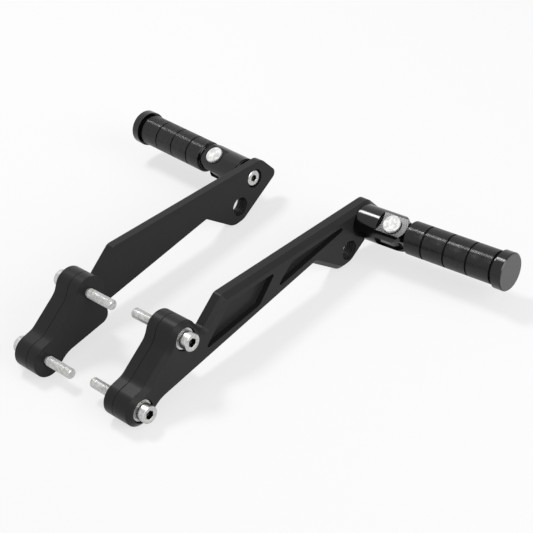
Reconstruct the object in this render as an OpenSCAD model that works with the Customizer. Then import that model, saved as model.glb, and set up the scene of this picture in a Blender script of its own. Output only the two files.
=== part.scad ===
// Pair of folding passenger pegs on milled brackets.
// Each bracket stands on its lower boss and on the lobe at the far end of its arm.
// X runs across the pair, Y along the arms from the mounting end, Z up.
// The origin is on the floor, in the middle of the pair's length and width.

/* [Layout] */
// half of the distance between the inner faces of the two spacers
half_spread = 35; // [30:1:60]
// how far the left bracket stands behind the right one
left_set_back = 3.5; // [0:0.5:10]
// how far each peg is swung up from its riding position, in degrees
fold_angle = 0; // [0:1:90]

/* [Mounting end] */
// height of the lower bolt above the floor, which is also the radius of both bosses
boss_radius = 12.8; // [12.4:0.1:13.4]
// distance of the upper bolt from the lower one along the arm
bolt_run = 46.9; // [45:0.1:49]
// distance of the upper bolt above the lower one
bolt_rise = 29.7; // [28.5:0.1:31]
// thickness of the spacer plate
spacer_thickness = 9; // [7:0.5:12]
// thickness of the bracket at the mounting pad
pad_thickness = 16.5; // [15:0.5:18]
// half width of the waist between the two bosses
waist_half_width = 8; // [7:0.1:9]
// radius of the hollows where the waist runs into the bosses
waist_fillet = 15; // [10:1:18]
// radius of the pad's rounded rear corner
pad_corner_radius = 7; // [5:0.5:9]

/* [Arm] */
// thickness of the arm
arm_thickness = 10.5; // [10:0.5:12]
// height of the arm's lower edge, carried on to below the lower bolt
arm_low_start = 7.3; // [7:0.1:8]
// height of the arm's lower edge where the lobe begins
arm_low_end = 22.5; // [21:0.1:24]
// distance from the upper bolt to the knee at the start of the arm
knee_run = 39.4; // [37:0.1:42]
// height of the knee above the upper bolt
knee_rise = 10; // [9:0.1:11]
// radius of the knee
knee_radius = 4.5; // [4:0.5:7]
// slope of the edge from the notch up to the knee, in degrees
knee_slope = 34.5; // [32:0.5:38]
// width of the bevel round the outer face
bevel = 3.5; // [2.5:0.1:4]

/* [Far end] */
// distance from the lower bolt to the peg's axis
peg_reach = 231.3; // [225:0.1:240]
// height of the peg's axis
peg_height = 28.2; // [27.5:0.1:29]
// distance from the lobe's hole on to the peg's axis
lobe_hole_back = 19.8; // [19:0.1:21]
// radius of the lobe's threaded hole
lobe_hole_radius = 7.7; // [6:0.1:8]
// radius of the lobe, which is also the height of its hole
lobe_radius = 13; // [12.6:0.1:13.4]
// distance from where the lobe begins on to the peg's axis
lobe_start_back = 55.5; // [54:0.1:57]
// distance of the tip's upper corner past the peg's axis
tip_top_past = 10.2; // [9:0.1:12]
// height of the tip's upper corner above the peg's axis
tip_top_rise = 12.5; // [12:0.1:13.5]
// distance of the tip's outermost corner past the peg's axis
tip_end_past = 24.6; // [23:0.1:26]
// drop of the tip's outermost corner below the peg's axis
tip_end_drop = 7.1; // [6:0.1:8]

/* [Pockets] */
// depth of the two milled pockets
pocket_depth = 5; // [3:0.5:6]
// radius of the cutter that leaves the pockets' corners
pocket_corner_radius = 1.6; // [1:0.1:2]

/* [Mounting bolts] */
// length of the mounting bolts under the head
mount_bolt_length = 50; // [45:5:60]
// depth of the recesses that take the washers
recess_depth = 2.8; // [2:0.1:4]
// radius of the recesses that take the washers
recess_radius = 8.7; // [8.5:0.1:9]
// radial clearance of the bolts in their holes
bolt_clearance = 0.3; // [0.2:0.05:0.5]
// thickness of the washers
washer_thickness = 1.6; // [1.2:0.1:2]

/* [Clevis] */
// radius of the clevis
clevis_radius = 13; // [12.5:0.1:13.5]
// distance from the arm's outer face to the flats
clevis_neck = 18.7; // [18:0.1:20]
// distance from the arm's outer face to the pivot pin
pivot_reach = 29.6; // [28:0.1:31]
// distance of each flat from the peg's axis
flat_offset = 10.3; // [10:0.1:10.8]
// sweep of the clevis and the peg towards the arm's tip, in degrees
peg_sweep = 3.5; // [0:0.1:6]
// lean of the pivot pin from the arm's direction, in degrees
pivot_lean = 116; // [100:1:130]
// width of the slot that takes the peg's tongue
slot_width = 11; // [10:0.1:12]
// gap between the tongue and the clevis
tongue_gap = 0.35; // [0.3:0.05:0.5]

/* [Pivot] */
// radius of the pivot pin
pin_radius = 4; // [3.5:0.1:4.5]
// radius of the pin's head
pin_head_radius = 7; // [6.5:0.1:7.5]
// thickness of the pin's head
pin_head_thickness = 2; // [1.5:0.1:2.5]
// radial clearance of the pin in the tongue
pin_clearance = 0.05; // [0.03:0.01:0.08]
// thickness of the retaining clip
clip_thickness = 1; // [0.8:0.1:1.2]
// radius of the detent ball
ball_radius = 2; // [1.8:0.1:2.2]
// distance of the detent ball from the pin
ball_orbit = 7.4; // [7:0.1:7.8]

/* [Peg] */
// radius of the peg's grip
grip_radius = 12.4; // [12:0.1:13]
// distance from the pivot pin to the grip
grip_start = 13.9; // [14:0.1:16]
// length of the first grip segment
first_segment = 15.3; // [14:0.1:17]
// length of each further grip segment with its groove
segment_pitch = 19; // [17:0.1:20]
// number of grip segments
segment_count = 4; // [3:1:5]
// width of the grooves between the segments
groove_width = 1.4; // [1:0.1:2]
// depth of the grooves between the segments
groove_depth = 1; // [0.6:0.1:1.4]
// radius of the neck between the grip and the end cap
neck_radius = 11; // [10:0.1:11.5]
// length of the neck between the grip and the end cap
neck_length = 3.2; // [2:0.1:4]
// radius of the end cap
cap_radius = 14.3; // [13.5:0.1:15]
// thickness of the end cap
cap_thickness = 7.7; // [5:0.1:9]

/* [Hidden] */
// round quality of large and small turned forms
fine = 96;
medium = 48;
// a small overlap that keeps cuts open
slip = 0.1;

// levels across one bracket, measured from the middle of the pair
spacer_in = half_spread;
pad_in = spacer_in + spacer_thickness;
outer_face = pad_in + pad_thickness;
arm_in = outer_face - arm_thickness;
bevel_start = outer_face - bevel;
recess_floor = outer_face - recess_depth;
head_seat = recess_floor + washer_thickness;
pivot_x = outer_face + pivot_reach;
lower_bolt = [0, boss_radius];
upper_bolt = [bolt_run, boss_radius + bolt_rise];
peg_axis = [peg_reach, peg_height];
lobe_hole = [peg_reach - lobe_hole_back, lobe_radius];
lobe_start = peg_reach - lobe_start_back;

// screw sizes of an 8 mm thread
thread_radius = 4;
threaded_end_radius = 3.8;
threaded_length = 25.5;
bolt_head_radius = 6.5;
bolt_head_height = 8;
bolt_socket_across = 6;
bolt_socket_depth = 4;
bolt_edge = 0.6;
washer_radius = 8;
washer_hole_radius = 4.2;
bolt_hole_radius = thread_radius + bolt_clearance;
clevis_screw_head_radius = 7;
clevis_screw_head_height = 4.4;
clevis_screw_socket_across = 5;
clevis_screw_socket_depth = 2.6;
clevis_screw_recess_radius = 7.7;
clevis_screw_recess_depth = 5;
clevis_screw_engagement = 11;
clevis_screw_end_gap = 1;
clevis_screw_taper = 2;

// clevis and tongue
ear_step = 0.4;
clevis_end_radius = clevis_radius - ear_step;
tongue_width = slot_width - 2 * tongue_gap;
tongue_radius = 10.5;
slot_floor_gap = 0.6;
tongue_half_height = 8.5;
base_step = 1.2;
base_step_radius = clevis_radius - base_step / 2;

// pivot pin and clip
clip_groove_depth = 0.8;
clip_radius = 6.8;
pin_tail = 1.2;
pin_edge = 0.5;
clip_gap = 2.6;
pin_foot = flat_offset + clip_thickness + pin_tail;
clip_free_play = 0.1;
clip_ease = 0.03;
clip_eye_radius = 0.8;
clip_eye_offset = 1.1;
clip_eye_angle = 58;

// detent
ball_proud = 1;
ball_track_clearance = 0.2;
ball_bore_radius = ball_radius + 0.1;
ball_bore_depth = 7.6;
spring_radius = 1.7;
spring_wire_radius = 0.3;
spring_coils = 8;
ball_height = tongue_width / 2 - ball_radius + ball_proud;
track_lead = asin((ball_radius + ball_track_clearance) / ball_orbit) + 1;
ball_angle = 180;
fold_range = 90;
spring_foot = tongue_width / 2 - ball_bore_depth;
spring_head = ball_height - ball_radius;

// peg
grip_length = first_segment + (segment_count - 1) * segment_pitch;
grip_edge = 1.5;
shoulder_radius = 10.2;
shoulder_length = 2;
cap_back = grip_start + grip_length + neck_length;
cap_spigot_radius = 6;
cap_spigot_length = 12;
cap_edge = 0.8;
cap_spigot_gap = 0.5;
shoulder_step = 0.4;

// Outlines. Each corner is [along the arm, height, radius], counterclockwise seen from
// outside the right bracket. A hollow corner turns the other way and keeps its radius positive.

waist_slope = atan2(bolt_rise, bolt_run);

// corners shared by the pad and the whole bracket, from the lower boss to the web below the arm
function boss_corner(centre, from_angle, to_angle) =
    let (mid = (from_angle + to_angle) / 2, half = (to_angle - from_angle) / 2)
    [centre[0] + boss_radius / cos(half) * cos(mid), centre[1] + boss_radius / cos(half) * sin(mid), boss_radius];

// where the tangent of a boss meets the edge of the waist
function waist_corner(centre, angle) =
    let (
        start = [centre[0] + boss_radius * cos(angle), centre[1] + boss_radius * sin(angle)],
        way = [-sin(angle), cos(angle)],
        edge_normal = [-sin(waist_slope), cos(waist_slope)],
        offset_here = (start - lower_bolt) * edge_normal,
        steps = (waist_half_width - offset_here) / (way * edge_normal)
    )
    [start[0] + steps * way[0], start[1] + steps * way[1], waist_fillet];

upper_leave = 152;
lower_join = 98;
lower_leave = 308;
pad_side_angle = -4;
notch_side_angle = 25;
belly_fillet = 20;

low_way = unit([lobe_start, arm_low_end - arm_low_start]);

// where the tangent of a boss at an angle meets a straight edge
function tangent_corner(centre, angle, point, way, radius) =
    let (
        out = [cos(angle), sin(angle)],
        steps = (boss_radius - (point - centre) * out) / (way * out)
    )
    [point[0] + steps * way[0], point[1] + steps * way[1], radius];

left_side = [
    waist_corner(upper_bolt, upper_leave),
    waist_corner(lower_bolt, lower_join),
    boss_corner(lower_bolt, lower_join, 180),
    boss_corner(lower_bolt, 180, 270),
    boss_corner(lower_bolt, 270, lower_leave),
    tangent_corner(lower_bolt, lower_leave, [0, arm_low_start], low_way, belly_fillet)
];

pad_outline = concat(left_side, [
    tangent_corner(upper_bolt, pad_side_angle, [0, arm_low_start], low_way, pad_corner_radius),
    boss_corner(upper_bolt, pad_side_angle, 90),
    boss_corner(upper_bolt, 90, upper_leave)
]);

lobe_corner_before = 10.1;
lobe_corner_past = 1.3;
lobe_hollow_radius = 2.5;
tip_end_radius = 5;
tip_top_radius = 8;
notch_radius = 3;
knee = [upper_bolt[0] + knee_run, upper_bolt[1] + knee_rise];
knee_way = [cos(knee_slope), sin(knee_slope)];

bracket_outline = concat(left_side, [
    [lobe_start, arm_low_end, lobe_hollow_radius],
    [lobe_hole[0] - lobe_corner_before, 0, lobe_radius],
    [lobe_hole[0] + lobe_corner_past, 0, lobe_radius],
    [peg_reach + tip_end_past, peg_height - tip_end_drop, tip_end_radius],
    [peg_reach + tip_top_past, peg_height + tip_top_rise, tip_top_radius],
    [knee[0], knee[1], knee_radius],
    tangent_corner(upper_bolt, notch_side_angle, knee, knee_way, notch_radius),
    boss_corner(upper_bolt, notch_side_angle, 90),
    boss_corner(upper_bolt, 90, upper_leave)
]);

function place(corners, i) = let (c = corners[(i + len(corners)) % len(corners)]) [c[0], c[1]];
function unit(v) = v / norm(v);
function turn(a, b) = a[0] * b[1] - a[1] * b[0];
function side_normal(v) = [-v[1], v[0]];

// the same corner after every edge has moved inwards by a distance
function inset_corner(corners, i, inset) =
    let (
        here = place(corners, i),
        before = unit(here - place(corners, i - 1)),
        after = unit(place(corners, i + 1) - here),
        bend = turn(before, after),
        shift = (side_normal(before) + side_normal(after)) * inset / (1 + before * after)
    )
    [here[0] + shift[0], here[1] + shift[1], max(least_radius, corners[i][2] + (bend > 0 ? -inset : inset))];

function inset_outline(corners, inset) = [for (i = [0 : len(corners) - 1]) inset_corner(corners, i, inset)];

// what rounds one corner: where its arc starts and ends, centre, radius, side, first angle, sweep
function rounding(corners, i) =
    let (
        here = place(corners, i),
        before = unit(here - place(corners, i - 1)),
        after = unit(place(corners, i + 1) - here),
        sweep = atan2(turn(before, after), before * after),
        side = sweep > 0 ? 1 : -1,
        radius = corners[i][2],
        reach = radius * tan(abs(sweep) / 2),
        start = here - before * reach
    )
    [
        start, here + after * reach, start + side_normal(before) * side * radius,
        radius, side, atan2(-side * before[0], side * before[1]), sweep
    ];

least_radius = 0.3;
least_step = 0.01;

// points along every corner's arc
arc_step = 6;

function arc_points(r) =
    let (steps = ceil(abs(r[6]) / arc_step - least_step))
    [for (s = [0 : steps]) r[2] + r[3] * [cos(r[5] + r[6] * s / steps), sin(r[5] + r[6] * s / steps)]];

function all_points(corners) = [for (i = [0 : len(corners) - 1]) each arc_points(rounding(corners, i))];

// two arcs about one centre share a point, which is kept once
function outline_points(corners) =
    let (points = all_points(corners), count = len(points))
    [for (i = [0 : count - 1]) if (norm(points[i] - points[(i + 1) % count]) > least_step) points[i]];

// Placing of the forms in space

// a flat outline in Y and Z, given a thickness along X
module along_x(from_x, thickness) {
    translate([from_x, 0, 0])
        rotate([90, 0, 90])
            linear_extrude(height = thickness)
                children();
}

// a turned form that stands on its Z axis, laid along X through a point of the plate
module axle(from_x, centre) {
    translate([from_x, centre[0], centre[1]])
        rotate([0, 90, 0])
            children();
}

// the peg's own directions: X outwards along the peg, Z along the pivot pin
module peg_frame() {
    translate([outer_face, peg_axis[0], peg_axis[1]])
        rotate([0, 0, peg_sweep])
            rotate([pivot_lean - 90, 0, 0])
                translate([-outer_face, 0, 0])
                    children();
}

// swings the peg's parts about the pivot pin
module swung() {
    translate([pivot_x, 0, 0])
        rotate([0, 0, fold_angle])
            children();
}

// the sloping rim that joins the outline to its inset copy on the outer face
module bevel_rim(corners) {
    wide = outline_points(corners);
    narrow = outline_points(inset_outline(corners, bevel));
    count = len(wide);
    points = concat(
        [for (p = wide) [bevel_start, p[0], p[1]]],
        [for (p = narrow) [outer_face, p[0], p[1]]],
        [for (p = narrow) [bevel_start, p[0], p[1]]]
    );
    rim = [for (i = [0 : count - 1]) let (
        next = (i + 1) % count,
        a = i, b = i + count, c = i + 2 * count,
        d = next, e = next + count, f = next + 2 * count
    ) each [[a, b, e], [a, e, d], [b, c, f], [b, f, e], [c, a, d], [c, d, f]]];
    polyhedron(points = points, faces = rim);
}

module hex_socket(across, depth) {
    translate([0, 0, -depth])
        cylinder(h = depth + slip, r = across / sqrt(3), $fn = 6);
}

// Parts of the right side

module bracket() {
    pocket_floor = outer_face - pocket_depth;
    difference() {
        union() {
            along_x(arm_in, bevel_start - arm_in)
                polygon(outline_points(bracket_outline));
            along_x(pad_in, arm_in - pad_in + slip)
                polygon(outline_points(pad_outline));
            along_x(bevel_start, bevel)
                polygon(outline_points(inset_outline(bracket_outline, bevel)));
            bevel_rim(bracket_outline);
        }
        along_x(pocket_floor, pocket_depth + slip)
            polygon(outline_points(knee_pocket));
        along_x(pocket_floor, pocket_depth + slip)
            polygon(outline_points(arm_pocket));
        for (centre = [lower_bolt, upper_bolt]) {
            axle(pad_in - slip, centre)
                cylinder(h = pad_thickness + 2 * slip, r = bolt_hole_radius, $fn = medium);
            axle(recess_floor, centre)
                cylinder(h = recess_depth + slip, r = recess_radius, $fn = fine);
        }
        axle(arm_in - slip, lobe_hole)
            cylinder(h = arm_thickness + 2 * slip, r = lobe_hole_radius, $fn = fine);
        axle(arm_in - slip, peg_axis)
            cylinder(h = arm_thickness + 2 * slip, r = bolt_hole_radius, $fn = medium);
        axle(arm_in - slip, peg_axis)
            cylinder(h = clevis_screw_recess_depth + slip, r = clevis_screw_recess_radius, $fn = fine);
    }
}

// the long pocket beside the knee, each corner given from the knee
knee_pocket_rear = [-25.8, -30.2];
knee_pocket_low = [30.2, -27.6];
knee_pocket_front = [49.7, -10.9];
knee_pocket_top = [3.2, -6.9];
pocket_round = 6;
pocket_top_round = 5;

knee_pocket = [
    [knee[0] + knee_pocket_rear[0], knee[1] + knee_pocket_rear[1], pocket_corner_radius],
    [knee[0] + knee_pocket_low[0], knee[1] + knee_pocket_low[1], pocket_round],
    [knee[0] + knee_pocket_front[0], knee[1] + knee_pocket_front[1], pocket_corner_radius],
    [knee[0] + knee_pocket_top[0], knee[1] + knee_pocket_top[1], pocket_top_round]
];

// the slim pocket along the arm, its near end given from the knee and its far end from the peg's axis
arm_pocket_low = [47.3, -25.2];
arm_pocket_top = [66.7, -12.1];
arm_pocket_end = [-21.8, 5.3];
arm_pocket_tip = [-25.3, 8.8];

arm_pocket = [
    [knee[0] + arm_pocket_low[0], knee[1] + arm_pocket_low[1], pocket_corner_radius],
    [peg_reach + arm_pocket_end[0], peg_height + arm_pocket_end[1], pocket_corner_radius],
    [peg_reach + arm_pocket_tip[0], peg_height + arm_pocket_tip[1], pocket_corner_radius],
    [knee[0] + arm_pocket_top[0], knee[1] + arm_pocket_top[1], pocket_round]
];

module mount_spacer() {
    difference() {
        along_x(spacer_in, spacer_thickness)
            polygon(outline_points(pad_outline));
        for (centre = [lower_bolt, upper_bolt])
            axle(spacer_in - slip, centre)
                cylinder(h = spacer_thickness + 2 * slip, r = bolt_hole_radius, $fn = medium);
    }
}

module mount_bolt(centre) {
    axle(head_seat, centre)
        difference() {
            union() {
                cylinder(h = bolt_head_height - bolt_edge, r = bolt_head_radius, $fn = fine);
                translate([0, 0, bolt_head_height - bolt_edge])
                    cylinder(h = bolt_edge, r1 = bolt_head_radius, r2 = bolt_head_radius - bolt_edge, $fn = fine);
                translate([0, 0, threaded_length - mount_bolt_length])
                    cylinder(h = mount_bolt_length - threaded_length, r = thread_radius, $fn = medium);
                translate([0, 0, bolt_edge - mount_bolt_length])
                    cylinder(h = threaded_length - bolt_edge, r = threaded_end_radius, $fn = medium);
                translate([0, 0, -mount_bolt_length])
                    cylinder(
                        h = bolt_edge,
                        r1 = threaded_end_radius - bolt_edge,
                        r2 = threaded_end_radius,
                        $fn = medium
                    );
            }
            translate([0, 0, bolt_head_height])
                hex_socket(bolt_socket_across, bolt_socket_depth);
        }
}

module mount_washer(centre) {
    axle(recess_floor, centre)
        difference() {
            cylinder(h = washer_thickness, r = washer_radius, $fn = fine);
            translate([0, 0, -slip])
                cylinder(h = washer_thickness + 2 * slip, r = washer_hole_radius, $fn = medium);
        }
}

// the outline of both ears, seen along the pivot pin
module ear_outline() {
    polygon([
        [outer_face + base_step, -clevis_radius], [pivot_x, -clevis_radius],
        [pivot_x, clevis_radius], [outer_face + base_step, clevis_radius]
    ]);
    translate([pivot_x, 0])
        circle(r = clevis_end_radius, $fn = fine);
}

// the clevis before its slot and bores are cut
module clevis_blank() {
    foot = clevis_radius * sin(peg_sweep) + slip;
    translate([outer_face - foot, 0, 0])
        rotate([0, 90, 0])
            cylinder(h = foot + base_step + slip, r = base_step_radius, $fn = fine);
    intersection() {
        translate([outer_face + base_step, 0, 0])
            rotate([0, 90, 0])
                cylinder(h = pivot_reach + clevis_end_radius, r = clevis_radius, $fn = fine);
        translate([0, 0, -clevis_radius])
            linear_extrude(height = 2 * clevis_radius)
                ear_outline();
    }
}

module clevis() {
    ear_length = pivot_reach + clevis_end_radius;
    slot_start = pivot_x - tongue_radius - slot_floor_gap;
    wide = 2 * clevis_radius + 2 * slip;
    difference() {
        peg_frame()
            difference() {
                clevis_blank();
                for (side = [-1, 1])
                    translate([
                        outer_face + clevis_neck, -clevis_radius - slip,
                        side > 0 ? flat_offset : -flat_offset - clevis_radius
                    ])
                        cube([ear_length, wide, clevis_radius]);
                translate([slot_start, -clevis_radius - slip, -slot_width / 2])
                    cube([ear_length, wide, slot_width]);
                translate([pivot_x, 0, -flat_offset - slip])
                    cylinder(h = 2 * flat_offset + 2 * slip, r = pin_radius + pin_clearance, $fn = medium);
                translate([pivot_x, 0, 0])
                    detent_track();
            }
        // the foot is faced off flush with the arm, and the screw enters square to it
        translate([outer_face - 2 * clevis_radius, peg_axis[0] - clevis_radius * 2, peg_axis[1] - clevis_radius * 2])
            cube([2 * clevis_radius, 4 * clevis_radius, 4 * clevis_radius]);
        axle(outer_face - slip, peg_axis)
            cylinder(h = clevis_screw_engagement + slip, r = thread_radius, $fn = medium);
    }
}

// the round-bottomed track that the detent ball runs in, cut into one ear
module detent_track() {
    translate([0, 0, ball_height])
        rotate([0, 0, ball_angle - track_lead])
            rotate_extrude(angle = fold_range + 2 * track_lead, $fn = fine)
                translate([ball_orbit, 0])
                    circle(r = ball_radius + ball_track_clearance, $fn = medium);
}

module clevis_screw() {
    seat = arm_in + clevis_screw_recess_depth;
    shank = arm_thickness - clevis_screw_recess_depth + clevis_screw_engagement - clevis_screw_end_gap;
    axle(seat, peg_axis)
        difference() {
            union() {
                cylinder(h = shank, r = thread_radius, $fn = medium);
                translate([0, 0, -clevis_screw_head_height / 2])
                    cylinder(h = clevis_screw_head_height / 2, r = clevis_screw_head_radius, $fn = fine);
                translate([0, 0, -clevis_screw_head_height])
                    cylinder(
                        h = clevis_screw_head_height / 2,
                        r1 = clevis_screw_head_radius - clevis_screw_taper,
                        r2 = clevis_screw_head_radius,
                        $fn = fine
                    );
            }
            translate([0, 0, -clevis_screw_head_height])
                mirror([0, 0, 1])
                    hex_socket(clevis_screw_socket_across, clevis_screw_socket_depth);
        }
}

module pivot_pin() {
    peg_frame()
        translate([pivot_x, 0, 0])
            difference() {
                union() {
                    translate([0, 0, pin_edge - pin_foot])
                        cylinder(h = pin_foot + flat_offset - pin_edge + slip, r = pin_radius, $fn = medium);
                    translate([0, 0, -pin_foot])
                        cylinder(h = pin_edge, r1 = pin_radius - pin_edge, r2 = pin_radius, $fn = medium);
                    translate([0, 0, flat_offset])
                        cylinder(h = pin_head_thickness - pin_edge, r = pin_head_radius, $fn = fine);
                    translate([0, 0, flat_offset + pin_head_thickness - pin_edge])
                        cylinder(
                            h = pin_edge,
                            r1 = pin_head_radius,
                            r2 = pin_head_radius - pin_edge,
                            $fn = fine
                        );
                }
                translate([0, 0, -flat_offset - clip_thickness - clip_free_play])
                    difference() {
                        cylinder(h = clip_thickness + clip_free_play, r = pin_radius + 1, $fn = medium);
                        translate([0, 0, -slip])
                            cylinder(
                                h = clip_thickness + clip_free_play + 2 * slip,
                                r = pin_radius - clip_groove_depth,
                                $fn = medium
                            );
                    }
            }
}

module pin_clip() {
    bite = pin_radius - clip_groove_depth + clip_ease;
    peg_frame()
        translate([pivot_x, 0, -flat_offset - clip_thickness])
            difference() {
                cylinder(h = clip_thickness, r = clip_radius, $fn = medium);
                translate([0, 0, -slip])
                    cylinder(h = clip_thickness + 2 * slip, r = bite, $fn = medium);
                translate([0, -bite + clip_gap / 4, -slip])
                    cube([clip_radius + slip, 2 * bite - clip_gap / 2, clip_thickness + 2 * slip]);
                for (side = [-1, 1])
                    rotate([0, 0, 180 + side * clip_eye_angle])
                        translate([bite + clip_eye_offset, 0, -slip])
                            cylinder(h = clip_thickness + 2 * slip, r = clip_eye_radius, $fn = 24);
            }
}

module detent_ball() {
    peg_frame()
        swung()
            rotate([0, 0, ball_angle])
                translate([ball_orbit, 0, ball_height])
                    sphere(r = ball_radius, $fn = medium);
}

// a short spring with its coils pressed together
module detent_spring() {
    span = spring_head - spring_foot;
    pitch = (span - 2 * spring_wire_radius) / (spring_coils - 1);
    peg_frame()
        swung()
            rotate([0, 0, ball_angle])
                translate([ball_orbit, 0, spring_foot]) {
                    for (i = [0 : spring_coils - 1])
                        translate([0, 0, spring_wire_radius + i * pitch])
                            rotate_extrude($fn = 32)
                                translate([spring_radius - spring_wire_radius, 0])
                                    circle(r = spring_wire_radius, $fn = 16);
                }
}

// half profile of the turned part of the peg: distance from the pin, radius
function groove_profile(i) =
    let (at = grip_start + first_segment + (i - 1) * segment_pitch)
    [
        [grip_radius, at - groove_width / 2],
        [grip_radius - groove_depth, at - groove_width / 2],
        [grip_radius - groove_depth, at + groove_width / 2],
        [grip_radius, at + groove_width / 2]
    ];

module grip_form() {
    grip_end = grip_start + grip_length;
    rotate([0, 90, 0])
        rotate_extrude($fn = fine)
            polygon(concat(
                [[0, grip_start - shoulder_length / 2], [shoulder_radius, grip_start - shoulder_length / 2]],
                [[shoulder_radius, grip_start + shoulder_step], [grip_radius, grip_start + shoulder_step + grip_edge]],
                [for (i = [1 : segment_count - 1]) each groove_profile(i)],
                [[grip_radius, grip_end], [neck_radius, grip_end]],
                [[neck_radius, cap_back], [0, cap_back]]
            ));
}

module tongue_outline() {
    circle(r = tongue_radius, $fn = fine);
    translate([0, -tongue_half_height])
        square([grip_start, 2 * tongue_half_height]);
    translate([-tongue_radius, -tongue_radius])
        square([tongue_radius, tongue_radius]);
}

module peg() {
    peg_frame()
        swung()
            difference() {
                union() {
                    grip_form();
                    translate([0, 0, -tongue_width / 2])
                        linear_extrude(height = tongue_width)
                            tongue_outline();
                }
                translate([0, 0, -tongue_width / 2 - slip])
                    cylinder(h = tongue_width + 2 * slip, r = pin_radius + pin_clearance, $fn = medium);
                rotate([0, 0, ball_angle])
                    translate([ball_orbit, 0, spring_foot])
                        cylinder(h = ball_bore_depth + slip, r = ball_bore_radius, $fn = 32);
                translate([cap_back - cap_spigot_length, 0, 0])
                    rotate([0, 90, 0])
                        cylinder(h = cap_spigot_length + slip, r = cap_spigot_radius, $fn = medium);
            }
}

module end_cap() {
    peg_frame()
        swung()
            translate([cap_back, 0, 0])
                rotate([0, 90, 0]) {
                    cylinder(h = cap_thickness - cap_edge, r = cap_radius, $fn = fine);
                    translate([0, 0, cap_thickness - cap_edge])
                        cylinder(h = cap_edge, r1 = cap_radius, r2 = cap_radius - cap_edge, $fn = fine);
                    translate([0, 0, cap_spigot_gap - cap_spigot_length])
                        cylinder(h = cap_spigot_length - cap_spigot_gap + slip, r = cap_spigot_radius, $fn = medium);
                }
}

// Both sides. The forms above are measured from the lower bolt, and both sides are moved back so
// that the origin lies in the middle of the pair.

along_arm = [for (p = outline_points(bracket_outline)) p[0]];
pair_middle = (min(along_arm) + max(along_arm) - left_set_back) / 2;

module right_side_of_pair() {
    translate([0, -pair_middle, 0])
        children();
}

module right_bracket() { color("#2c2d2f") right_side_of_pair() bracket(); }
module right_mount_spacer() { color("#2c2d2f") right_side_of_pair() mount_spacer(); }
module right_upper_bolt() { color("#b9bbbd") right_side_of_pair() mount_bolt(upper_bolt); }
module right_lower_bolt() { color("#b9bbbd") right_side_of_pair() mount_bolt(lower_bolt); }
module right_upper_washer() { color("#a9abad") right_side_of_pair() mount_washer(upper_bolt); }
module right_lower_washer() { color("#a9abad") right_side_of_pair() mount_washer(lower_bolt); }
module right_clevis() { color("#17181a") right_side_of_pair() clevis(); }
module right_clevis_screw() { color("#b9bbbd") right_side_of_pair() clevis_screw(); }
module right_pivot_pin() { color("#c8cacc") right_side_of_pair() pivot_pin(); }
module right_pin_clip() { color("#55575a") right_side_of_pair() pin_clip(); }
module right_detent_ball() { color("#c8cacc") right_side_of_pair() detent_ball(); }
module right_detent_spring() { color("#8f9194") right_side_of_pair() detent_spring(); }
module right_peg() { color("#1a1b1d") right_side_of_pair() peg(); }
module right_end_cap() { color("#232426") right_side_of_pair() end_cap(); }

module left_side_of_pair() {
    translate([0, -left_set_back, 0])
        mirror([1, 0, 0])
            children();
}

module left_bracket() { left_side_of_pair() right_bracket(); }
module left_mount_spacer() { left_side_of_pair() right_mount_spacer(); }
module left_upper_bolt() { left_side_of_pair() right_upper_bolt(); }
module left_lower_bolt() { left_side_of_pair() right_lower_bolt(); }
module left_upper_washer() { left_side_of_pair() right_upper_washer(); }
module left_lower_washer() { left_side_of_pair() right_lower_washer(); }
module left_clevis() { left_side_of_pair() right_clevis(); }
module left_clevis_screw() { left_side_of_pair() right_clevis_screw(); }
module left_pivot_pin() { left_side_of_pair() right_pivot_pin(); }
module left_pin_clip() { left_side_of_pair() right_pin_clip(); }
module left_detent_ball() { left_side_of_pair() right_detent_ball(); }
module left_detent_spring() { left_side_of_pair() right_detent_spring(); }
module left_peg() { left_side_of_pair() right_peg(); }
module left_end_cap() { left_side_of_pair() right_end_cap(); }

left_bracket();
left_mount_spacer();
left_upper_bolt();
left_lower_bolt();
left_upper_washer();
left_lower_washer();
left_clevis();
left_clevis_screw();
left_pivot_pin();
left_pin_clip();
left_detent_ball();
left_detent_spring();
left_peg();
left_end_cap();
right_bracket();
right_mount_spacer();
right_upper_bolt();
right_lower_bolt();
right_upper_washer();
right_lower_washer();
right_clevis();
right_clevis_screw();
right_pivot_pin();
right_pin_clip();
right_detent_ball();
right_detent_spring();
right_peg();
right_end_cap();
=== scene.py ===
import math
import bpy
import numpy as np
from mathutils import Matrix, Vector


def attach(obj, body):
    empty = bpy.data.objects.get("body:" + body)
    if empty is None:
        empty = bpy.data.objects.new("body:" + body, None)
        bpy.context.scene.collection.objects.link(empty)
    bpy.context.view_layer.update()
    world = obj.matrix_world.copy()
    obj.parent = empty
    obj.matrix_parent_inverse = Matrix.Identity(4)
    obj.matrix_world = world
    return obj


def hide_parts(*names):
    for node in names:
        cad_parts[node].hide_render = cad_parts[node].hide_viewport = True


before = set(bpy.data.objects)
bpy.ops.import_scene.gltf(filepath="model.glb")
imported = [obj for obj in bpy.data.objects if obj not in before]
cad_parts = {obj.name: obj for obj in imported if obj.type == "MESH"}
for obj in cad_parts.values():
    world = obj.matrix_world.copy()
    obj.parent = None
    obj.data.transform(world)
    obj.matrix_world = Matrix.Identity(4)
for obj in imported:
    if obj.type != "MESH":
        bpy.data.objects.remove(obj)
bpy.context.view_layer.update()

print("frame loaded,", len(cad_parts), "pieces")

mm = 0.001

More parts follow.
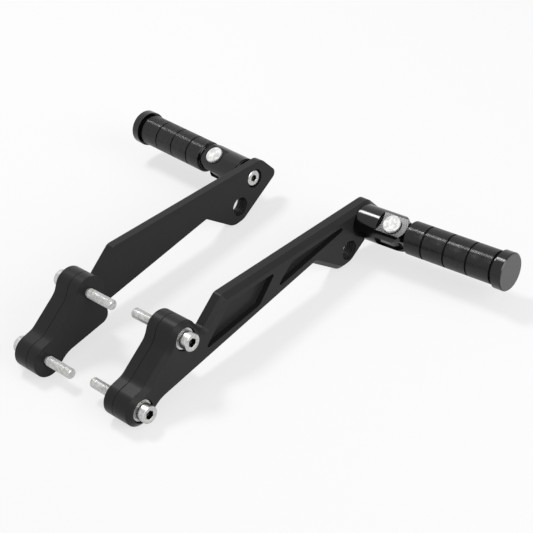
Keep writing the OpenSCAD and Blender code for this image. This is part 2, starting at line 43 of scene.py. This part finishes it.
# the right bracket's drawing, in millimetres: X out from the middle, Y along the arm, Z up
pair = {
    "middleY": 118.514,        # where the pair's own middle lies on the drawing
    "leftSetBack": 3.5,        # the left one stands this much further back
    "pegSweep": 3.5,           # degrees that a peg points towards the tip
    "pinLean": 26.0,           # degrees that a pivot pin leans back from upright
}
pegHeel = (60.5, 231.3, 28.2)    # where the clevis meets the arm
lobeHole = (0.0, 211.5, 13.0)    # a point on the lobe hole's axis
washerX, pinReach = 60.0, 29.6   # the washers' distance from the middle, the pins' from the heel
boltSpots = {"upper": (46.9, 42.5), "lower": (0.0, 12.8)}   # Y and Z of the bolts
sideNames = ("right", "left")


def sideSign(side):
    return 1.0 if side == "right" else -1.0


def placeOn(side, point):
    # a point of the right bracket's drawing, in metres on the side that is asked for
    setBack = 0.0 if side == "right" else pair["leftSetBack"]
    x, y, z = point
    return np.array([sideSign(side) * x, y - pair["middleY"] - setBack, z]) * mm


def directionOn(side, vector):
    return np.array([sideSign(side) * vector[0], vector[1], vector[2]])


def pegLine(side):
    # the peg's heel, the way that it points and the way that its pin points
    sweep, lean = math.radians(pair["pegSweep"]), math.radians(pair["pinLean"])
    along = directionOn(side, (math.cos(sweep), math.sin(sweep), 0.0))
    pin = directionOn(side, (
        math.sin(lean) * math.sin(sweep), -math.sin(lean) * math.cos(sweep), math.cos(lean)))
    return placeOn(side, pegHeel), along, pin


# shader maths


class Signal:
    # one socket of a material, so that its maths reads as ordinary arithmetic
    def __init__(self, finish, socket):
        self.finish, self.socket = finish, socket

    def out(self, name):
        return Signal(self.finish, self.socket.node.outputs[name])

    def maths(self, operation, first, second):
        return self.finish.node("ShaderNodeMath", {"operation": operation}, [first, second])

    def __add__(self, other):
        return self.maths("ADD", self, other)

    __radd__ = __add__

    def __sub__(self, other):
        return self.maths("SUBTRACT", self, other)

    def __rsub__(self, other):
        return self.maths("SUBTRACT", other, self)

    def __mul__(self, other):
        return self.maths("MULTIPLY", self, other)

    __rmul__ = __mul__

    def size(self):
        return self.finish.node("ShaderNodeMath", {"operation": "ABSOLUTE"}, [self])

    def sine(self):
        return self.finish.node("ShaderNodeMath", {"operation": "SINE"}, [self])

    def step(self, low, high):
        # 0 below low, 1 above high and a smooth rise between them
        return self.finish.node(
            "ShaderNodeMapRange", {"interpolation_type": "SMOOTHSTEP"}, [self, low, high, 0.0, 1.0])


class Finish:
    # the nodes of one material or world, and the one method that adds a node to them
    def __init__(self, owner):
        owner.use_nodes = True
        self.owner, self.tree = owner, owner.node_tree
        self.tree.nodes.clear()
        self.place = self.node("ShaderNodeTexCoord").out("Object")

    def node(self, kind, settings=None, inputs=None):
        made = self.tree.nodes.new(kind)
        for setting, value in (settings or {}).items():
            setattr(made, setting, value)
        pairs = inputs.items() if isinstance(inputs, dict) else enumerate(inputs or [])
        for key, value in pairs:
            if isinstance(value, Signal):
                self.tree.links.new(value.socket, made.inputs[key])
            elif value is not None:
                made.inputs[key].default_value = value
        return Signal(self, made.outputs[0])

    def noise(self, size, detail=3.0, stretch=(1.0, 1.0, 1.0)):
        # cloudy noise whose lumps are about size millimetres, drawn out where stretch is above 1
        turned = self.node(
            "ShaderNodeMapping", inputs={"Vector": self.place, "Scale": [1.0 / s for s in stretch]})
        return self.node("ShaderNodeTexNoise", inputs={
            "Vector": turned, "Scale": 1.0 / (size * mm), "Detail": detail})

    def blend(self, factor, first, second):
        mixed = self.node("ShaderNodeMix", {"data_type": "RGBA"}, {0: factor, 6: first, 7: second})
        return Signal(self, mixed.socket.node.outputs[2])

    def cornerMask(self, radius):
        # 0 on a face, rising to 1 on a convex or hollow corner within radius millimetres
        soft = self.node("ShaderNodeBevel", {"samples": 4}, {"Radius": radius * mm})
        plain = self.node("ShaderNodeNewGeometry").out("Normal")
        alike = self.node("ShaderNodeVectorMath", {"operation": "DOT_PRODUCT"}, [soft, plain])
        return (1.0 - alike.out("Value")).step(0.02, 0.25)

    def ringsRound(self, centre, axis):
        # how far a point lies from the axis, and how far along it, both in millimetres
        offset = self.node(
            "ShaderNodeVectorMath", {"operation": "SUBTRACT"}, [self.place, tuple(centre)])
        across = self.node(
            "ShaderNodeVectorMath", {"operation": "CROSS_PRODUCT"}, [offset, tuple(axis)])
        along = self.node("ShaderNodeVectorMath", {"operation": "DOT_PRODUCT"}, [offset, tuple(axis)])
        spread = self.node("ShaderNodeVectorMath", {"operation": "LENGTH"}, [across])
        return spread.out("Value") * (1.0 / mm), along.out("Value") * (1.0 / mm)

    def bump(self, height, depth, radius):
        # height is a signal from 0 to 1, depth its size in millimetres, radius that of the corners
        corners = self.node("ShaderNodeBevel", {"samples": 6}, {"Radius": radius * mm})
        return self.node("ShaderNodeBump", inputs={
            "Height": height, "Distance": depth * mm, "Strength": 1.0, "Normal": corners})

    def finished(self, kind, shader):
        output = self.tree.nodes.new(kind)
        self.tree.links.new(shader.socket, output.inputs["Surface"])
        return self.owner

    def surface(self, **inputs):
        shader = self.node("ShaderNodeBsdfPrincipled", inputs={
            key.replace("_", " "): value for key, value in inputs.items()})
        return self.finished("ShaderNodeOutputMaterial", shader)


# finishes: sizes in millimetres, colours as linear light

bracketLook = {
    "dark": (0.015, 0.0152, 0.0155, 1.0), "light": (0.021, 0.0212, 0.0215, 1.0),
    # the edge colour is the paler grey of the painted edge highlight on the corners
    "edge": (0.035, 0.036, 0.037, 1.0), "roughness": 0.34, "cloud": 28.0, "grain": 0.35,
    "grainDepth": 0.014, "gloss": 0.13, "edgeRadius": 0.4,
    "jointAt": 44.0, "jointLine": (0.0005, 0.0005, 0.0005, 1.0),   # between pad and spacer
}
pegLook = {
    "dark": (0.0015, 0.0015, 0.0017, 1.0), "light": (0.003, 0.003, 0.0033, 1.0),
    # the edge colour is the paler grey of the painted edge highlight on the corners
    "edge": (0.012, 0.012, 0.013, 1.0), "roughness": 0.13, "gloss": 0.4, "edgeRadius": 0.3,
    "grainDepth": 0.003, "capFaceAt": 126.35,   # millimetres from the heel to the cap's end face
    # the cap's end face gets a lighter grey as a painted sheen, and a satin roughness
    "capFaceSheen": (0.06, 0.061, 0.063, 1.0), "capRoughness": 0.4,
}
steelLook = {
    "bright": (0.6, 0.6, 0.595, 1.0), "dull": (0.4, 0.4, 0.395, 1.0),
    "socketShade": (0.07, 0.068, 0.065, 1.0), "roughness": 0.25, "edgeRadius": 0.2,
# the last colour is the painted shade inside a socket
}
springLook = {
    "bright": (0.46, 0.465, 0.475, 1.0), "dull": (0.34, 0.345, 0.355, 1.0),
    "roughness": 0.3, "scratchDepth": 0.006, "edgeRadius": 0.1,
}


def newFinish(name):
    return Finish(bpy.data.materials.new(name))


def anodisedBracket():
    # satin black: a fine blasted grain, long faint milling lines and corners painted paler as a
    # painted edge highlight, in patches like rubbing wear
    look, finish = bracketLook, newFinish("bracket anodised")
    cloud = finish.noise(look["cloud"], 4.0)
    grain = finish.noise(look["grain"], 2.0)
    milled = finish.noise(0.7, 2.0, stretch=(1.0, 60.0, 1.0))
    colour = finish.blend(cloud, look["dark"], look["light"])
    patches = finish.noise(6.0, 3.0).step(0.35, 0.65)
    # painted edge highlight: corners are painted paler, in patches as rubbing wear would leave them,
    # and the same mask makes them a little glossier
    edgeSheenAndWear = finish.cornerMask(look["edgeRadius"]) * (0.35 + 0.65 * patches)
    colour = finish.blend(edgeSheenAndWear * 0.6, colour, look["edge"])
    # the joint between pad and spacer shows as a fine dark line at its own distance from the middle
    apart = finish.node("ShaderNodeSeparateXYZ", inputs=[finish.place]).out("X").size() * (1.0 / mm)
    joint = 1.0 - (apart - look["jointAt"]).size().step(0.2, 0.5)
    colour = finish.blend(joint, colour, look["jointLine"])
    roughness = look["roughness"] - 0.05 + 0.08 * cloud + 0.08 * (grain - 0.5) - 0.08 * edgeSheenAndWear
    height = 0.6 * grain + 0.4 * milled - 12.0 * joint
    return finish.surface(
        Base_Color=colour, Roughness=roughness + 0.3 * joint, Specular_IOR_Level=look["gloss"],
        Normal=finish.bump(height, look["grainDepth"], look["edgeRadius"]))


def anodisedPeg(side):
    # gloss black, turned about the peg's own line, with corners painted paler as a painted edge
    # highlight; the cap's end face is satin and painted a lighter grey as a painted sheen
    look, finish = pegLook, newFinish(side + " peg anodised")
    heel, along, pin = pegLine(side)
    spread, length = finish.ringsRound(heel, along)
    smudge = finish.noise(9.0, 4.0)
    lathe = (spread * 14.0 + length * 21.0).sine() * 0.5 + 0.5
    # painted sheen: the cap's end face is painted a lighter grey, and the same mask gives it the
    # satin roughness
    capFaceSheen = length.step(look["capFaceAt"], look["capFaceAt"] + 0.25)
    colour = finish.blend(smudge, look["dark"], look["light"])
    colour = finish.blend(capFaceSheen, colour, look["capFaceSheen"])
    # painted edge highlight: the corners are painted paler
    colour = finish.blend(finish.cornerMask(look["edgeRadius"]) * 0.7, colour, look["edge"])
    plain = look["roughness"] - 0.03 + 0.08 * smudge
    roughness = plain + capFaceSheen * (look["capRoughness"] - plain)
    height = 0.5 * lathe + 0.5 * finish.noise(0.3, 2.0)
    return finish.surface(
        Base_Color=colour, Roughness=roughness, Specular_IOR_Level=look["gloss"],
        Normal=finish.bump(height, look["grainDepth"], look["edgeRadius"]))


def turnedSteel(name, centre, axis, rings=9.0, roughness=None, socket=None, depth=0.03):
    # bright steel with the rings that the lathe tool left round the axis; a socket, given by its
    # radius and by where it starts and ends along the axis, is painted dark inside as painted shade
    look, finish = steelLook, newFinish(name)
    spread, length = finish.ringsRound(centre, axis)
    stain = finish.noise(2.4, 3.0)
    tool = (spread * rings + stain * 1.2).sine() * 0.5 + 0.5
    colour = finish.blend(stain.step(0.3, 0.75), look["bright"], look["dull"])
    base = look["roughness"] if roughness is None else roughness
    if socket:
        radius, start, end = socket
        # painted shade: the inside of the socket is painted dark, as the recess would be in shade
        inside = (1.0 - spread.step(radius, radius + 0.2)) * length.step(start, start + 0.2)
        inside = inside * (1.0 - length.step(end - 0.5, end - 0.2))
        colour = finish.blend(inside, colour, look["socketShade"])
    return finish.surface(
        Base_Color=colour, Metallic=1.0, Roughness=base + 0.12 * (stain - 0.5) + 0.06 * tool,
        Normal=finish.bump(0.7 * tool + 0.3 * finish.noise(0.25, 2.0), depth, look["edgeRadius"]))


def wireSteel():
    # darker drawn spring steel with fine scratches in all directions
    look, finish = springLook, newFinish("spring steel")
    stain = finish.noise(1.5, 4.0)
    scratch = finish.noise(0.12, 2.0, stretch=(1.0, 6.0, 1.0))
    colour = finish.blend(stain, look["dull"], look["bright"])
    return finish.surface(
        Base_Color=colour, Metallic=1.0, Roughness=look["roughness"] + 0.12 * (stain - 0.5),
        Normal=finish.bump(scratch, look["scratchDepth"], look["edgeRadius"]))


def wear(node, material):
    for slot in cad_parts[node].material_slots:
        slot.material = material


bracketFinish = anodisedBracket()
springFinish = wireSteel()
pegFinish = {side: anodisedPeg(side) for side in sideNames}
for side in sideNames:
    heel, along, pin = pegLine(side)
    out = directionOn(side, (1.0, 0.0, 0.0))
    for part in ("bracket", "mount_spacer"):
        wear(side + "_" + part, bracketFinish)
    for part in ("clevis", "peg", "end_cap"):
        wear(side + "_" + part, pegFinish[side])
    for level, (y, z) in boltSpots.items():
        wear("%s_%s_washer" % (side, level), turnedSteel(
            "%s %s washer steel" % (side, level), placeOn(side, (washerX, y, z)), out, 5.0, 0.3))
    pinPlace = heel + along * pinReach * mm
    wear(side + "_pivot_pin", turnedSteel(side + " pin steel", pinPlace, pin, 8.5, 0.6, depth=0.09))
    wear(side + "_detent_ball", turnedSteel(side + " ball steel", pinPlace, pin, 12.0, 0.12))
    wear(side + "_pin_clip", springFinish)
    wear(side + "_detent_spring", springFinish)
print("finishes made")


# turned pieces


sharpAngle = 38.0   # degrees; a fold above this shows as an edge


def turnedPiece(name, origin, axis, length, radius, closed, material):
    # a surface of revolution: the point at row i and column j lies length[i, j] along the axis
    # from the origin and radius[i, j] away from it, at an angle of j parts of a whole turn;
    # a loop joins its last row to its first, and an open profile gets one point at each end
    rows, columns = length.shape
    axis = np.array(axis, float) / np.linalg.norm(axis)
    first = np.cross(axis, (0.0, 0.3, 1.0))   # any way that isn't along the axis would do
    first /= np.linalg.norm(first)
    second = np.cross(axis, first)
    angle = turnAngles(columns)[None, :]
    points = (
        np.array(origin) + mm * (
            length[..., None] * axis + (radius * np.cos(angle))[..., None] * first
            + (radius * np.sin(angle))[..., None] * second))
    points = points.reshape(-1, 3)
    i = np.arange(rows if closed == "loop" else rows - 1)[:, None]
    j = np.arange(columns)[None, :]
    nextRow, nextColumn = (i + 1) % rows, (j + 1) % columns
    faces = np.stack([
        i * columns + j, i * columns + nextColumn, nextRow * columns + nextColumn,
        nextRow * columns + j], axis=-1).reshape(-1, 4).tolist()
    if closed == "ends":
        ends = [np.array(origin) + mm * length[row].mean() * axis for row in (0, -1)]
        points = np.vstack([points, ends])
        column = np.arange(columns)
        last = (rows - 1) * columns
        faces += np.stack([
            (column + 1) % columns, column, np.full(columns, rows * columns)], axis=-1).tolist()
        faces += np.stack([
            last + column, last + (column + 1) % columns,
            np.full(columns, rows * columns + 1)], axis=-1).tolist()
    mesh = bpy.data.meshes.new(name)
    mesh.from_pydata(points.tolist(), [], faces)
    mesh.shade_smooth()
    mesh.set_sharp_from_angle(angle=math.radians(sharpAngle))
    piece = bpy.data.objects.new(name, mesh)
    bpy.context.scene.collection.objects.link(piece)
    mesh.materials.append(material)
    return piece


def turnAngles(columns):
    return np.arange(columns) * 2.0 * math.pi / columns


def triangleWave(phase):
    # 0 at whole numbers and 1 halfway between them
    return 1.0 - np.abs(2.0 * (phase % 1.0) - 1.0)


def hexRadius(across, columns):
    # distance from the middle to a hexagon's side: half its width over the cosine of the
    # angle from the nearest side's middle
    sixth = math.pi / 3.0
    return 0.5 * across / np.cos((turnAngles(columns) + sixth / 2.0) % sixth - sixth / 2.0)


# X of tip, head seat, head top and thread end; radii; thread pitch and depth; socket across flats
screws = {
    "mount": {
        "tip": 9.3, "seat": 59.3, "top": 67.3, "threadEnd": 34.8, "thread": 3.9, "shank": 4.0,
        "pitch": 1.25, "depth": 0.55, "head": 6.5, "socket": 6.0, "socketDepth": 4.0, "edge": 0.6,
        "chamfer": 0.9, "rings": 4.0,
    },
    "clevis": {
        "tip": 65.0, "seat": 55.0, "top": 50.6, "threadEnd": 56.0, "thread": 4.9, "shank": 4.9,
        "pitch": 1.5, "depth": 0.3, "head": 6.95, "socket": 5.0, "socketDepth": 2.6, "edge": 1.9,
        "chamfer": 0.9, "rings": 4.0,
    },
}


def socketScrew(name, side, size, y, z):
    # tip, helical thread, shank, round head and six-sided socket as one profile
    columns = 72
    outward = 1.0 if size["top"] > size["tip"] else -1.0
    threadEnd, seat, top = [
        abs(size[part] - size["tip"]) for part in ("threadEnd", "seat", "top")]
    full = np.ones(columns)
    point = size["thread"] - size["chamfer"]
    rows = [(0.0, point * full)]
    # thread: the radius falls by a triangle wave of the length less one pitch per turn
    for h in np.arange(0.35, threadEnd, size["pitch"] / 8.0):
        wave = triangleWave(h / size["pitch"] - turnAngles(columns) / (2.0 * math.pi))
        fade = min(1.0, (threadEnd - h) / size["pitch"])
        rows.append((h, np.minimum(
            size["thread"] - size["depth"] * fade * wave, point + 1.1 * h)))
    edge, head = size["edge"], size["head"]
    hexagon = hexRadius(size["socket"], columns)
    mouth = size["socket"] / math.sqrt(3.0) + 0.25
    curve = np.linspace(0.0, math.pi / 2.0, 5)
    profile = [(threadEnd + 0.2, size["shank"]), (seat - 0.3, size["shank"]),
               (seat, size["shank"] + 0.3), (seat, head - 0.25), (seat + 0.25, head)]
    profile += [(top - edge + edge * math.sin(a), head - edge + edge * math.cos(a)) for a in curve]
    profile += [(top, mouth + 0.35), (top - 0.06, mouth + 0.1)]
    rows += [(h, r * full) for h, r in profile]
    rows += [(top - 0.35, hexagon), (top - size["socketDepth"], hexagon),
             (top - size["socketDepth"] - 0.5, 0.3 * full)]
    length = np.stack([np.full(columns, h) for h, r in rows])
    radius = np.stack([r for h, r in rows])
    axis = directionOn(side, (outward, 0.0, 0.0))
    origin = placeOn(side, (size["tip"], y, z))
    # the socket's inside is painted dark as painted shade
    finish = turnedSteel(
        name.replace("_", " ") + " steel", origin, axis, size["rings"],
        socket=(size["socket"] / math.sqrt(3.0), top - size["socketDepth"] - 0.8, top))
    return turnedPiece(name, origin, axis, length, radius, "ends", finish)


for side in sideNames:
    for level, (y, z) in boltSpots.items():
        screw = socketScrew("%s_%s_screw" % (side, level), side, screws["mount"], y, z)
        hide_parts("%s_%s_bolt" % (side, level))
        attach(screw, "brackets")
    screw = socketScrew(side + "_heel_screw", side, screws["clevis"], pegHeel[1], pegHeel[2])
    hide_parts(side + "_clevis_screw")
    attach(screw, "brackets")
print("screws made")


grip = {
    "start": 43.9, "end": 115.8, "core": 11.0, "base": 12.42, "ringHeight": 0.26, "ringPitch": 1.05,
    "grooves": (58.8, 77.8, 96.8), "grooveWidth": 1.36, "grooveFloor": 11.43, "samples": 8,
}


def ringedGrip(side):
    # the radius follows the size of a sine of the length, cut off flat at the top, so that each
    # pitch is a flat ring and a fine cut; it drops to the floor of a groove wherever one lies,
    # and slopes down over the last half millimetre
    columns = 96
    count = int((grip["end"] - grip["start"]) / grip["ringPitch"]) * grip["samples"]
    h = np.linspace(grip["start"], grip["end"], count)
    half = grip["grooveWidth"] / 2.0
    walls = np.array([-half - 0.02, -half, half, half + 0.02])
    h = np.unique(np.concatenate([h, (np.array(grip["grooves"])[:, None] + walls).ravel()]))
    ring = np.abs(np.sin(math.pi * (h - grip["start"]) / grip["ringPitch"]))
    r = grip["base"] + grip["ringHeight"] * np.minimum(1.0, 1.35 * ring)
    gap = np.min(np.abs(h[:, None] - np.array(grip["grooves"])[None, :]), axis=1)
    r = np.where(gap <= half + 1e-6, grip["grooveFloor"], r)
    ends = np.minimum(h - grip["start"], grip["end"] - h)
    r = np.minimum(r, grip["base"] - 0.25 + 1.6 * ends)
    h = np.concatenate([h, [grip["end"], grip["start"]]])
    r = np.concatenate([r, [grip["core"], grip["core"]]])
    heel, along, pin = pegLine(side)
    full = np.ones((1, columns))
    piece = turnedPiece(
        side + "_ringed_grip", heel, along, h[:, None] * full, r[:, None] * full, "loop",
        pegFinish[side])
    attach(piece, side + "_folding_peg")


lobe = {"start": 50.35, "end": 60.15, "wall": 7.69, "pitch": 2.0, "depth": 0.6, "back": 0.12}


def lobeThread(side):
    # the hole's wall drops by a triangle wave along a right-hand helix; the back is hidden in metal
    columns = 72
    start, end, wall, pitch, depth, back = lobe.values()
    h = np.arange(end, start, -pitch / 8.0)
    wave = triangleWave(h[:, None] / pitch - turnAngles(columns)[None, :] / (2.0 * math.pi))
    fade = np.clip(np.minimum(h - start, end - h) / pitch, 0.0, 1.0)[:, None]
    inner = wall - depth * wave * fade
    length = np.vstack([h[:, None] * np.ones((1, columns)), np.full((1, columns), start),
                        np.full((1, columns), end)])
    radius = np.vstack([inner, np.full((2, columns), wall + back)])
    origin = placeOn(side, lobeHole)
    axis = directionOn(side, (1.0, 0.0, 0.0))
    piece = turnedPiece(side + "_lobe_thread", origin, axis, length, radius, "loop", bracketFinish)
    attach(piece, "brackets")


for side in sideNames:
    ringedGrip(side)
    lobeThread(side)
print("grips and lobe threads made")


# studio, camera

studio = {
    "floorRadius": 7.0, "floorGrey": 0.93, "floorShare": 0.68, "worldLight": 0.32,
    "lamps": {
        "key": {"at": (-0.70, 0.16, 1.40), "aim": (0.03, 0.02, 0.0), "size": 0.36, "power": 12.0},
        "side": {"at": (1.7, 0.1, 0.75), "aim": (0.0, 0.0, 0.0), "size": 1.2, "power": 22.0},
    },
}


def softLamp(name, at, aim, size, power):
    lamp = bpy.data.lights.new(name, "AREA")
    lamp.size, lamp.energy = size, power
    stand = bpy.data.objects.new(name, lamp)
    turn = (Vector(at) - Vector(aim)).to_track_quat("Z", "Y")
    stand.matrix_world = Matrix.Translation(at) @ turn.to_matrix().to_4x4()
    bpy.context.scene.collection.objects.link(stand)


def seenDirectly(finish):
    # 1 for what the camera, a gloss or a clear surface sees, 0 for light on the object
    path = finish.node("ShaderNodeLightPath")
    seen = path.out("Is Camera Ray") + path.out("Is Glossy Ray") + path.out("Is Transmission Ray")
    return finish.node("ShaderNodeMath", {"operation": "MINIMUM"}, [seen, 1.0])


def paleFloor():
    # rings of points on the floor, each ring a little wider than the last
    rings, columns = 24, 96
    radius = studio["floorRadius"] * (np.arange(1, rings + 1) / rings) ** 1.5
    angle = turnAngles(columns)
    points = np.stack([
        radius[:, None] * np.cos(angle)[None, :], radius[:, None] * np.sin(angle)[None, :],
        np.zeros((rings, columns))], axis=-1).reshape(-1, 3)
    i, j = np.arange(rings - 1)[:, None], np.arange(columns)[None, :]
    faces = np.stack([
        i * columns + j, (i + 1) * columns + j, (i + 1) * columns + (j + 1) % columns,
        i * columns + (j + 1) % columns], axis=-1).reshape(-1, 4).tolist()
    mesh = bpy.data.meshes.new("floor")
    mesh.from_pydata(points.tolist(), [], faces + [list(range(columns))])
    finish = newFinish("pale floor")
    cloud = finish.noise(900.0, 2.0)
    grey = studio["floorGrey"]
    colour = finish.blend(cloud, (grey,) * 3 + (1.0,), (grey + 0.02,) * 3 + (1.0,))
    matt = finish.node("ShaderNodeBsdfDiffuse", inputs={"Color": colour})
    glow = finish.node("ShaderNodeEmission", inputs={"Color": (1.0, 1.0, 1.0, 1.0), "Strength": 1.0})
    mixed = finish.node(
        "ShaderNodeMixShader", inputs=[seenDirectly(finish) * studio["floorShare"], matt, glow])
    mesh.materials.append(finish.finished("ShaderNodeOutputMaterial", mixed))
    floor = bpy.data.objects.new("floor", mesh)
    bpy.context.scene.collection.objects.link(floor)


def whiteWorld():
    # a plain level of light on the object, and white wherever the world itself is seen
    finish = Finish(bpy.data.worlds.new("white studio"))
    seen = seenDirectly(finish)
    strength = seen * (1.0 - studio["worldLight"]) + studio["worldLight"]
    back = finish.node("ShaderNodeBackground", inputs={
        "Color": (1.0, 1.0, 1.0, 1.0), "Strength": strength})
    bpy.context.scene.world = finish.finished("ShaderNodeOutputWorld", back)


paleFloor()
whiteWorld()
for name, lamp in studio["lamps"].items():
    softLamp(name + " lamp", lamp["at"], lamp["aim"], lamp["size"], lamp["power"])

view = {
    "at": (0.666647, -0.517637, 0.648537), "lens": 97.109,
    "right": (0.7222931, 0.6785464, -0.1336690), "up": (-0.3342587, 0.5117214, 0.7914622),
    "forward": (-0.6054451, 0.5269877, -0.5964229),
}
camera = bpy.data.objects.new("camera", bpy.data.cameras.new("camera"))
camera.data.lens, camera.data.sensor_width = view["lens"], 36.0
camera.data.clip_end = 30.0
turn = Matrix((view["right"], view["up"], [-v for v in view["forward"]])).transposed()
camera.matrix_world = Matrix.Translation(view["at"]) @ turn.to_4x4()
bpy.context.scene.collection.objects.link(camera)
bpy.context.scene.camera = camera
bpy.context.scene.view_settings.view_transform = "Standard"
print("studio and camera set")
